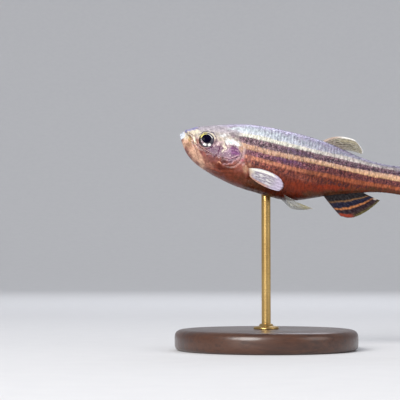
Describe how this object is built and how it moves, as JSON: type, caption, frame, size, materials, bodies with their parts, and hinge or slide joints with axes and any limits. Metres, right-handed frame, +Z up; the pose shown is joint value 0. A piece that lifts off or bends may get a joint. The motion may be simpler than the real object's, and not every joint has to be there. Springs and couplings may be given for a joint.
{
  "type": "zebra danio",
  "caption": "Life-size model of a small striped freshwater fish swimming head-up, with spread fins, short feelers and a plain round display stand.",
  "frame": {"origin": "centre of the stand base's underside", "axes": "+Z up, the fish's head towards -X and its left side towards -Y"},
  "size_m": [0.0429, 0.026, 0.0322],
  "materials": {
    "skin": "wet, silvery scaled skin with dark lengthwise stripes",
    "gill_plate": "pearly, pink-violet gill cover",
    "eye": "wet eyeball with a black pupil in a silver ring",
    "clear_fin": "clear, olive to lilac fin membrane on pale rays",
    "striped_fin": "fin membrane with dark blue and golden stripes along the rays",
    "stand_wood": "dark, satin wood",
    "stand_metal": "brushed brass"
  },
  "bodies": {
    "root": {"head": "skin", "lower_jaw": "skin", "trunk": "skin", "tail": "skin", "gill_cover_left": "gill_plate", "gill_cover_right": "gill_plate", "eye_left": "eye", "eye_right": "eye", "barbel_rostral_left": "skin", "barbel_rostral_right": "skin", "barbel_maxillary_left": "skin", "barbel_maxillary_right": "skin", "fin_dorsal": "clear_fin", "fin_anal": "striped_fin", "fin_tail": "striped_fin", "fin_pectoral_left": "clear_fin", "fin_pectoral_right": "clear_fin", "fin_pelvic_left": "clear_fin", "fin_pelvic_right": "clear_fin", "stand_base": "stand_wood", "stand_rod": "stand_metal"}
  },
  "joints": []
}
